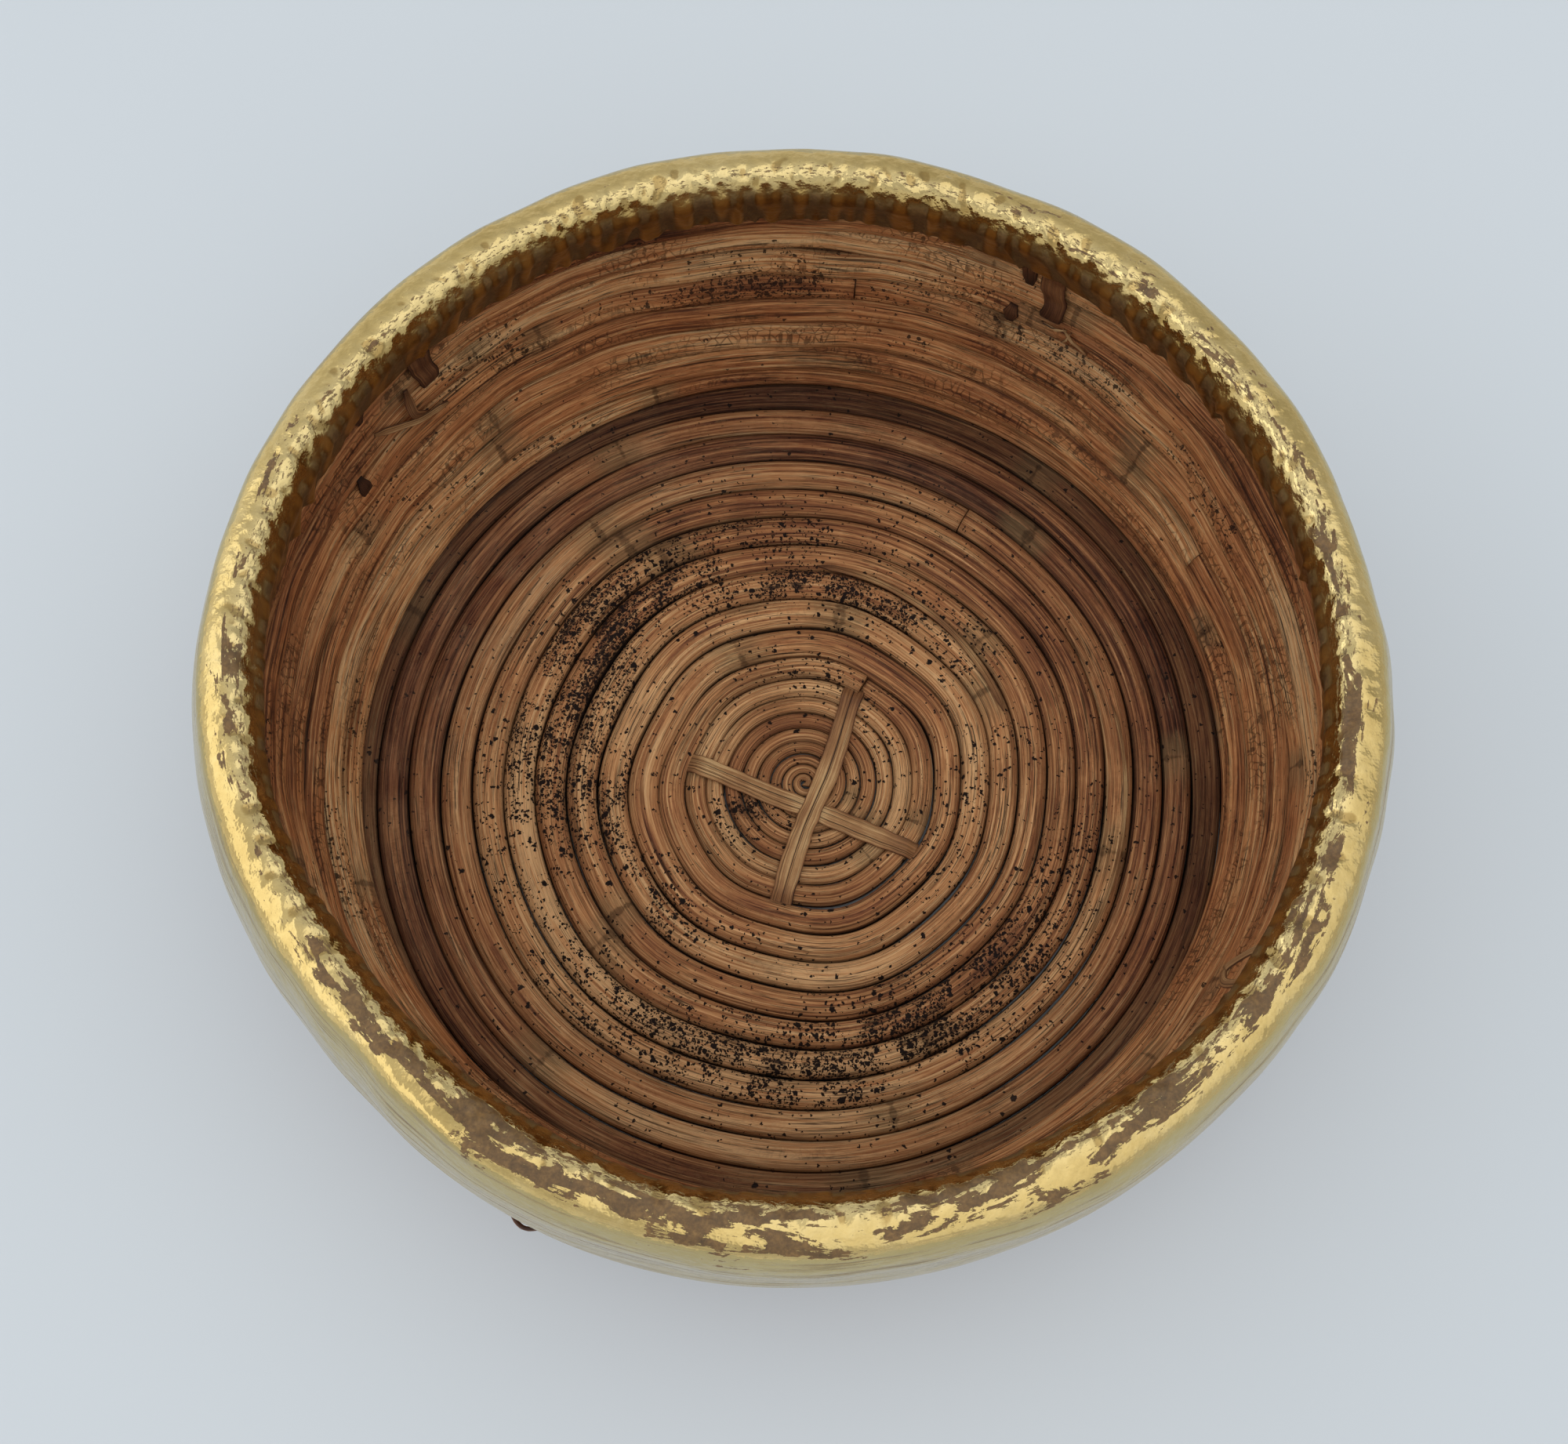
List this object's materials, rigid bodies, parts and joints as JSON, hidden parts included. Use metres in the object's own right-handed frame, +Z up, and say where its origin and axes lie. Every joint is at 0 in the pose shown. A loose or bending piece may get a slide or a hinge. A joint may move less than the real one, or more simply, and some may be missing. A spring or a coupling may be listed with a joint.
{
  "type": "rattan planter",
  "caption": "Low round bowl planter wound from rattan cane, with a spiral floor, a coiled bellied wall, cane lashings and a sheet brass rim",
  "frame": {"origin": "on the surface that the planter stands on, under the axis of the brass rim", "axes": "+Z up along the bowl's axis, +X to the right in the picture, +Y away from its viewer"},
  "size_m": [0.3242, 0.3242, 0.1159],
  "materials": {
    "floor_rattan": "bare weathered rattan, light tan",
    "wall_rattan": "varnished rattan, orange brown, finely crackled",
    "cane_strip": "split cane, satin, stained brown",
    "sheet_brass": "polished sheet brass, hand dressed, with brown patina"
  },
  "bodies": {
    "root": {"floor_center_reed": "floor_rattan", "floor_cane_inner": "floor_rattan", "floor_cane_outer": "floor_rattan", "floor_cross_strip_lower": "cane_strip", "floor_cross_strip_upper": "cane_strip", "wall_cane_lower": "wall_rattan", "wall_cane_middle": "wall_rattan", "wall_cane_upper": "wall_rattan", "loose_lashing_tail": "cane_strip", "brass_rim": "sheet_brass", "rim_lashing_1": "cane_strip", "rim_tie_1": "cane_strip", "rim_lashing_2": "cane_strip", "rim_tie_2": "cane_strip", "rim_lashing_3": "cane_strip", "rim_tie_3": "cane_strip", "rim_lashing_4": "cane_strip", "rim_tie_4": "cane_strip"}
  },
  "joints": []
}
